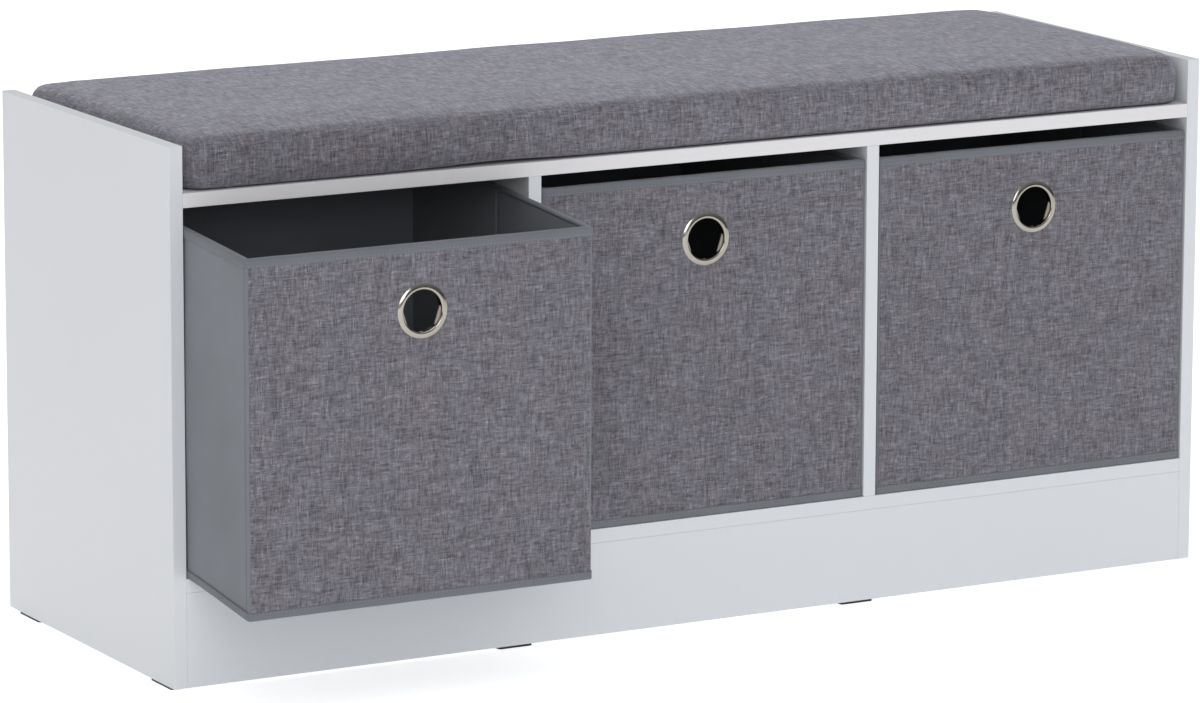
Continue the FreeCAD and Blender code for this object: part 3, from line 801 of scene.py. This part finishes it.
def make_walls(name, seed):
    """The sewn walls of a box, the boards inside them, its bottom and its loose base board."""
    low, high = corners(name + "_front_cover")
    back_low, back_high = corners(name + "_back_cover")
    side_low, side_high = corners(name + "_side_cover_left")
    right_low, right_high = corners(name + "_side_cover_right")
    floor_low, floor_high = corners(name + "_bottom_cover")
    base_low, base_high = corners(name + "_base_board")
    right_start = Vector((right_high.x, right_low.y, right_low.z))
    back_start = Vector((back_low.x, back_high.y, back_low.z))
    eye = eyelet_centre(name)
    size = high - low
    thick = size.y
    run = side_high.y - side_low.y
    hole = (eye.x - low.x, eye.z - low.z, EYELET_CUT)
    linen_hole = (hole[0] - WRAP, hole[1], hole[2])

    def wall(part, *where, **how):
        finish = how.pop("finish", NONWOVEN)
        slot = how.pop("slot", "nonwoven")
        return slab(name + part, *where, finish, how.pop("body", name), slot, **how)

    pieces = [
        wall("_front_lining", low, X, Z, Y, size.x, size.z, thick, hole=hole, swell=(0.1 * MM, 0.5 * MM),
             seed=seed),
        wall("_front_linen", low + X * WRAP - Y * LINEN, X, Z, Y, size.x - 2 * WRAP, size.z, LINEN * 2,
             finish=FRONT_CLOTH, slot="grey_slub_cloth_box", stands_for=(name + "_front_cover",), hole=linen_hole,
             swell=(0.5 * MM, 0.0), soft=0.8 * MM, wave=0.2 * MM, seed=seed),
        wall("_side_left", side_low, Y, Z, X, run, size.z, thick, stands_for=(name + "_side_cover_left",),
             fold=run / 2, swell=(0.6 * MM, 0.5 * MM), seed=seed + 3),
        wall("_side_right", right_start, Y, Z, -X, run, size.z, thick, stands_for=(name + "_side_cover_right",),
             fold=run / 2, swell=(0.6 * MM, 0.5 * MM), seed=seed + 6),
        wall("_back", back_start, X, Z, -Y, size.x, size.z, thick, stands_for=(name + "_back_cover",),
             swell=(0.5 * MM, 0.5 * MM), seed=seed + 9),
        wall("_bottom", floor_low, X, Y, Z, size.x, floor_high.y - floor_low.y, floor_high.z - floor_low.z,
             stands_for=(name + "_bottom_cover",), soft=0.8 * MM, wave=0.0, pitch=14 * MM),
    ]
    base_size = base_high - base_low
    base = wall("_base", base_low, X, Y, Z, *base_size, body=name + "_base", stands_for=(name + "_base_board",),
                soft=1.2 * MM, wave=0.1 * MM, pitch=10 * MM, seed=seed + 12)

    def stiff(part, node, *where, **how):
        return slab(name + part, *where, GREYBOARD, name, "greyboard", stands_for=(name + node,), soft=0.4 * MM,
                    wave=0.0, pitch=24 * MM, **how)

    inner = (thick - BOARD_THICK) / 2
    tall = size.z - 2 * BOARD_MARGIN
    board_hole = (hole[0] - BOARD_MARGIN, hole[1] - BOARD_MARGIN, hole[2])
    for end, corner, inward, opening in (("front", low, Y, board_hole), ("back", back_start, -Y, None)):
        start = corner + X * BOARD_MARGIN + Z * BOARD_MARGIN + inward * inner
        pieces.append(stiff(f"_{end}_board", f"_{end}_stiffener", start, X, Z, inward, size.x - 2 * BOARD_MARGIN,
                            tall, BOARD_THICK, hole=opening))
    half = run / 2 - 2 * BOARD_MARGIN
    for side, start_x, inward in (("left", side_low.x, X), ("right", right_high.x, -X)):
        ends = (("front", side_low.y + BOARD_MARGIN), ("rear", side_low.y + run / 2 + BOARD_MARGIN))
        for end, start_y in ends:
            start = Vector((start_x, start_y, side_low.z + BOARD_MARGIN)) + inward * inner
            pieces.append(stiff(f"_{side}_{end}_board", "_side_stiffeners", start, Y, Z, inward, half, tall,
                                BOARD_THICK))
    return pieces, base


def make_trims(name, seed):
    """Tape folded over the rim, tape round the foot, and the stitches that hold them."""
    low, high = corners(name + "_front_cover")
    back_high = Vector(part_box(name + "_back_cover")[1])
    foot_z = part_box(name + "_bottom_cover")[0][2]
    foot_top = foot_z + FOOT_RISE
    loop = rounded_loop(low.x, high.x, low.y, back_high.y, BOX_CORNER, 6 * MM)
    rim = folded_section(low.y - high.y, LINEN, high.z, HEM_DROP, HEM_TUCK, TAPE)
    foot = foot_section(foot_z, foot_top)
    return [
        swept_tape(name + "_rim_tape", loop, rim, name, seed),
        swept_tape(name + "_foot_tape", loop, foot, name, seed + 2),
        stitches(name + "_rim_stitches", loop, high.z - HEM_DROP + STITCH_INSET, name, seed),
        stitches(name + "_foot_stitches", loop, foot_top - STITCH_INSET, name, seed + 2),
    ]


def eyelet_centre(name):
    """The middle of the eyelet, on the front wall's outer face."""
    low, high = corners(name + "_eyelet")
    return Vector(((low.x + high.x) / 2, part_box(name + "_front_cover")[0][1], (low.z + high.z) / 2))


def make_box(name, seed):
    """One drawer box. The drawn one droops at its front."""
    walls, base = make_walls(name, seed)
    pieces = walls + make_trims(name, seed)
    eye = eyelet_centre(name)
    for part, node, section in (("_eyelet_ring", "_eyelet", EYELET_LIP + EYELET_BACK),
                                ("_washer_ring", "_eyelet_washer", WASHER)):
        profile = [(radius * MM, depth * MM) for radius, depth in section]
        pieces.append(turned_ring(name + part, profile, eye, name, (name + node,)))
    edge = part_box("bottom_shelf")[0][1]
    low, high = corners(name + "_front_cover")
    if low.y < edge:
        for piece in pieces:
            droop(piece, low.y, edge, low.z, high.z)
        release_droop(pieces + [base])


# ---------------------------------------------------------------- seat cushion

def cushion_lattice(low, high, pitch=CUSHION_PITCH):
    """The closed cover as a lattice of quads: points, faces, and the panel that each face belongs to."""
    size = high - low
    counts = [max(2, round(side / pitch)) for side in size]
    index = {}
    points = []
    faces = []
    panels = []

    def point(i, j, k):
        key = (i, j, k)
        if key not in index:
            index[key] = len(points)
            points.append(Vector((low.x + size.x * i / counts[0], low.y + size.y * j / counts[1],
                                  low.z + size.z * k / counts[2])))
        return index[key]

    for i in range(counts[0]):
        for j in range(counts[1]):
            for k, panel in ((0, "bottom"), (counts[2], "top")):
                face = [point(i, j, k), point(i + 1, j, k), point(i + 1, j + 1, k), point(i, j + 1, k)]
                faces.append(face if k else face[::-1])
                panels.append(panel)
    for k in range(counts[2]):
        for i in range(counts[0]):
            for j in (0, counts[1]):
                face = [point(i, j, k), point(i + 1, j, k), point(i + 1, j, k + 1), point(i, j, k + 1)]
                faces.append(face if j == 0 else face[::-1])
                panels.append("long")
        for j in range(counts[1]):
            for i in (0, counts[0]):
                face = [point(i, j, k), point(i, j + 1, k), point(i, j + 1, k + 1), point(i, j, k + 1)]
                faces.append(face[::-1] if i == 0 else face)
                panels.append("short")
    return points, faces, panels


def round_corners(points, low, high, radius):
    """Draws the lattice in at the upright corners."""
    for point in points:
        dx = max(low.x + radius - point.x, 0.0) or -max(point.x - high.x + radius, 0.0)
        dy = max(low.y + radius - point.y, 0.0) or -max(point.y - high.y + radius, 0.0)
        if dx and dy:
            ratio = max(abs(dx), abs(dy)) / math.hypot(dx, dy)
            point.x += dx * (1 - ratio)
            point.y += dy * (1 - ratio)


def rounded_edge(inset, depth, radius):
    """How far a point near an edge moves in from the two faces that meet there."""
    across = max(radius - inset, 0.0)
    down = max(radius - depth, 0.0)
    if not across or not down:
        return 0.0, 0.0
    ratio = 1 - max(across, down) / math.hypot(across, down)
    return across * ratio, down * ratio


def swollen(piece, held, seams):
    """Cloth simulation of the stuffed cover: its panels swell, and its seams pull in a little."""
    start = [vertex.co.copy() for vertex in piece.data.vertices]
    hold = piece.vertex_groups.new(name="hold")
    hold.add(held, 1.0, "REPLACE")
    hold.add(seams, SEAM_HOLD, "REPLACE")
    pull = piece.vertex_groups.new(name="pull")
    pull.add(seams, 1.0, "REPLACE")
    modifier = piece.modifiers.new("swell", "CLOTH")
    settings = modifier.settings
    for key, value in STUFFED_CLOTH.items():
        setattr(settings, key, value)
    settings.vertex_group_mass = "hold"
    settings.vertex_group_shrink = "pull"
    settings.shrink_max = SEAM_PULL
    settings.effector_weights.gravity = 0
    modifier.collision_settings.use_collision = False
    scene = bpy.context.scene
    modifier.point_cache.frame_start = 1
    modifier.point_cache.frame_end = SWELL_FRAMES
    for number in range(1, SWELL_FRAMES + 1):
        scene.frame_set(number)
    evaluated = piece.evaluated_get(bpy.context.evaluated_depsgraph_get())
    moved = [vertex.co.copy() for vertex in evaluated.data.vertices]
    piece.modifiers.remove(modifier)
    scene.frame_set(1)
    for vertex, before, after in zip(piece.data.vertices, start, moved):
        step = after - before
        if step.length > SWELL_LIMIT:
            step *= SWELL_LIMIT / step.length
        vertex.co = before + step


def make_cushion():
    """The cover, swollen over its foam, with its front edge a little uneven."""
    low, high = (Vector(corner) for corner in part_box("cushion_cover"))
    inset = Vector((CUSHION_INSET, CUSHION_INSET, 0))
    start_low = low + inset + Vector((LEFT_END_GAP, 0, 0))
    start_high = high - inset + Vector((CUSHION_INSET / 2, 0, -CUSHION_INSET))
    points, faces, panels = cushion_lattice(start_low, start_high)
    flat = [point.copy() for point in points]
    round_corners(points, start_low, start_high, CUSHION_CORNER)
    piece = make_piece("seat_cushion", points, faces, CUSHION_CLOTH, "cushion",
                       ("cushion_cover",))
    mesh = piece.data

    place = mesh.attributes.new("cloth_place", "FLOAT_VECTOR", "CORNER")
    for polygon, panel in zip(mesh.polygons, panels):
        for loop in polygon.loop_indices:
            x, y, z = flat[mesh.loops[loop].vertex_index]
            place.data[loop].vector = {"top": (x, y, 0), "bottom": (x, y + 1, 0), "long": (z + 2, x, 0),
                                       "short": (z + 3, y, 0)}[panel]

    bottom = [i for i, point in enumerate(flat) if point.z < start_low.z + MM]
    top_seam = [i for i, point in enumerate(flat) if point.z > start_high.z - MM
                and (min(point.x - start_low.x, start_high.x - point.x) < MM
                     or min(point.y - start_low.y, start_high.y - point.y) < MM)]
    swollen(piece, bottom, top_seam)
    shape_cushion(mesh, flat, low, high, start_low, start_high)
    mark_seams(mesh, flat, start_low, start_high)
    smooth = piece.modifiers.new("smooth", "SUBSURF")
    smooth.levels = 1
    smooth.render_levels = 1


def make_foam():
    """The foam block inside the cover."""
    low, high = (Vector(corner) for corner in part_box("cushion_foam"))
    spare = Vector((FOAM_SPARE, FOAM_SPARE, FOAM_SPARE))
    points, faces, _ = cushion_lattice(low + spare, high - spare, FOAM_PITCH)
    round_corners(points, low + spare, high - spare, CUSHION_CORNER)
    foam = make_piece("foam_block", points, faces, FOAM, "cushion", ("cushion_foam",))
    soft = foam.modifiers.new("soft", "BEVEL")
    soft.width = FOAM_BEVEL
    soft.segments = 3
    soft.limit_method = "ANGLE"


def shape_cushion(mesh, flat, low, high, start_low, start_high):
    """Crown, rounded edges, small waves along the seams and the lifted stretch of the front seam."""
    middle = (low + high) / 2
    half = (high - low) / 2
    for vertex, point in zip(mesh.vertices, flat):
        across = (point.x - middle.x) / half.x
        deep = (point.y - middle.y) / half.y
        rise = (point.z - start_low.z) / (start_high.z - start_low.z)
        co = vertex.co
        crown = (1 - abs(across) ** 6) * (1 - abs(deep) ** 3)
        wave = CUSHION_TOP_WAVE * wander(point.x, point.y, 1.0, 11.0)
        co.z += rise * (CUSHION_RAISE + CUSHION_CROWN * crown + wave)
        front = max(0.0, 1 - (point.y - low.y) / FRONT_BAND)
        belly = math.sin(math.pi * min(max(rise, 0.0), 1.0))
        co.y -= front * belly * CUSHION_BULGE * (0.6 + 0.5 * wander(point.x, 2.0, 0.0, 9.0))
        co.y += front * FRONT_WAVE * wander(point.x, point.z, 7.0, 16.0)
        lift = math.exp(-((point.x - LIFT_PLACE) / LIFT_REACH) ** 2)
        co.z += front * lift * (LIFT_SEAM * (1 - rise) + LIFT_FACE * belly)
        co.y -= front * lift * LIFT_PUCKER * math.sin(rise * 9.0)

        ends = min(point.x - start_low.x, start_high.x - point.x)
        sides = min(point.y - start_low.y, start_high.y - point.y)
        under_top = start_high.z - point.z
        over_foot = point.z - start_low.z
        end_side = -1 if point.x > middle.x else 1
        long_side = -1 if point.y > middle.y else 1
        for inset, depth, radius, axis, side, down in (
                (ends, under_top, END_ROUND, 0, end_side, -1), (sides, under_top, TOP_ROUND, 1, long_side, -1),
                (ends, over_foot, FOOT_ROUND, 0, end_side, 1), (sides, over_foot, FOOT_ROUND, 1, long_side, 1)):
            moved_in, moved_down = rounded_edge(inset, depth, radius)
            co[axis] += side * moved_in
            co.z += down * moved_down
    at_ends, at_front, over_top = STAND_PROUD
    for vertex in mesh.vertices:
        co = vertex.co
        co.x = min(max(co.x, low.x - at_ends), high.x + at_ends)
        co.y = min(max(co.y, low.y - at_front), high.y)
        co.z = min(max(co.z, low.z), high.z + CUSHION_RAISE + over_top)


def mark_seams(mesh, flat, low, high):
    """Sharper folds along the two seams of the boxing."""
    crease = mesh.attributes.new("crease_edge", "FLOAT", "EDGE")
    near = 0.1 * MM
    for edge, value in zip(mesh.edges, crease.data):
        ends = [flat[index] for index in edge.vertices]
        on_x = all(min(end.x - low.x, high.x - end.x) < near for end in ends)
        on_y = all(min(end.y - low.y, high.y - end.y) < near for end in ends)
        level = any(all(abs(end.z - height) < near for end in ends) for height in (low.z, high.z))
        if level and (on_x or on_y):
            value.value = SEAM_FOLD


# ---------------------------------------------------------------- zip

def make_zip():
    """Woven tape and coil along the rear boxing."""
    low, high = (Vector(corner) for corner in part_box("zip_tape"))
    middle = (low.z + high.z) / 2
    tape_face = low.y + 1.0 * MM
    slab("zip_cloth_tape", Vector((low.x, tape_face + 0.25 * MM, low.z)), X, Z, -Y, high.x - low.x, high.z - low.z,
         1.2 * MM, ZIP_CLOTH, "cushion", "zip_grey", ("zip_tape",), soft=0.8 * MM, wave=0.15 * MM)
    points = []
    faces = []
    for number in range(int((high.x - low.x - 4 * MM) / ZIP_PITCH)):
        x = low.x + 2 * MM + ZIP_PITCH * number
        lean = 0.35 * MM * (1 if number % 2 else -1)
        faces += ring_faces(len(points), TOOTH_SIDES, TOOTH_STEPS + 1, turned=True)
        for step in range(TOOTH_STEPS + 1):
            angle = math.pi * step / TOOTH_STEPS
            centre = Vector((x + lean * math.cos(angle), tape_face + 0.2 * MM + 0.85 * MM * math.sin(angle) ** 0.6,
                             middle + 2.2 * MM * math.cos(angle)))
            tangent = Vector((0, math.cos(angle), -math.sin(angle)))
            for side in range(TOOTH_SIDES):
                turn = math.tau * side / TOOTH_SIDES
                out = X * math.cos(turn) + tangent.cross(X) * math.sin(turn)
                points.append(centre + out * 0.32 * MM)
    make_piece("zip_coil", points, faces, ZIP_CLOTH, "cushion")


def make_slider():
    """The zip's slider: a waisted plate with turned-in flanges."""
    low, high = (Vector(corner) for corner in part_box("zip_slider"))
    length = high.x - low.x
    middle = (low.z + high.z) / 2
    half = (high.z - low.z) / 2
    outline = []
    for step in range(SLIDER_STEPS + 1):
        share = step / SLIDER_STEPS
        waist = 1 - 0.22 * math.sin(math.pi * share) ** 2 - 0.25 * share ** 4
        nose = min(min(share, 1 - share) / SLIDER_NOSE, 1.0)
        end = math.sqrt(1 - (1 - nose) ** 2)
        outline.append((low.x + length * share, half * waist * (0.75 + 0.25 * end)))
    section = [(-1.0, 0.0), (-1.0, 0.55), (-0.92, 0.82), (-0.75, 0.95), (0.75, 0.95), (0.92, 0.82), (1.0, 0.55),
               (1.0, 0.0), (0.8, 0.0), (0.8, 0.45), (-0.8, 0.45), (-0.8, 0.0)]
    depth = high.y - low.y
    points = []
    for x, reach in outline:
        for across, rise in section:
            points.append(Vector((x, low.y + depth * rise, middle + reach * across)))
    size = len(section)
    faces = [tuple(range(size)), tuple(reversed(range(len(points) - size, len(points))))]
    faces += ring_faces(0, size, len(outline))
    make_piece("zip_slider_body", points, faces, ZIP_METAL, "zip_slider", ("zip_slider",), sharp=40)


# ---------------------------------------------------------------- room, light and camera

def make_stage():
    """A plain pale floor, soft light and the camera."""
    floor_finish = Finish("pale_floor", roughness=0.9, specular_ior_level=0.1, base_color=(0.93, 0.93, 0.935, 1),
                          emission_strength=FLOOR_GLOW)
    tree = floor_finish.tree
    mirrored = add_node(tree, "ShaderNodeLightPath").outputs["Is Glossy Ray"]
    glow = blended(tree, mirrored, (1, 1, 1, 1), FLOOR_MIRRORED)
    tree.links.new(glow, floor_finish.shader.inputs["Emission Color"])
    mesh = bpy.data.meshes.new("floor")
    square = [(x * FLOOR_REACH, y * FLOOR_REACH, 0) for x, y in ((-1, -1), (1, -1), (1, 1), (-1, 1))]
    mesh.from_pydata(square, [], [(0, 1, 2, 3)])
    mesh.materials.append(floor_finish.material)
    floor = placed("floor", mesh)

    world = bpy.data.worlds.new("studio")
    world.use_nodes = True
    tree = world.node_tree
    background = next(node for node in tree.nodes if node.type == "BACKGROUND")
    height = apart(tree, add_node(tree, "ShaderNodeTexCoord").outputs["Generated"])[2]
    dome = blended(tree, remapped(tree, height, 0.1, 0.9), DOME_LOW, DOME_HIGH)
    rays = add_node(tree, "ShaderNodeLightPath").outputs
    room = blended(tree, sums(tree, "MULTIPLY", rays["Is Glossy Ray"], 0.65), dome, DOME_MIRRORED)
    tree.links.new(blended(tree, rays["Is Camera Ray"], room, (1, 1, 1, 1)), background.inputs["Color"])
    bpy.context.scene.world = world

    for name, place, aim, size, power in SOFTBOXES:
        light = bpy.data.lights.new(name, "AREA")
        light.shape = "RECTANGLE"
        light.size, light.size_y = size
        light.energy = power
        lamp = placed(name, light)
        lamp.location = place
        lamp.rotation_euler = (Vector(aim) - Vector(place)).to_track_quat("-Z", "Y").to_euler()

    lens = bpy.data.cameras.new("camera")
    lens.lens = LENS
    lens.sensor_width = SENSOR
    lens.clip_end = CAMERA_FAR
    camera = placed("camera", lens)
    turn = Matrix.Rotation(math.radians(CAMERA_TURN), 4, "Z")
    tilt = Matrix.Rotation(math.radians(90 + CAMERA_TILT), 4, "X")
    roll = Matrix.Rotation(math.radians(CAMERA_ROLL), 4, "Z")
    side, back, height = CAMERA_PLACE
    place = Matrix.Translation((side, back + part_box("side_panel_left")[0][1], height))
    camera.matrix_world = place @ turn @ tilt @ roll
    bpy.context.scene.camera = camera
    bpy.context.scene.view_settings.view_transform = "Standard"


make_stage()
finish_frame_nodes()
for number, box_name in enumerate(BOXES):
    make_box(box_name, 20.0 * number + 1.0)
make_cushion()
make_foam()
make_zip()
make_slider()
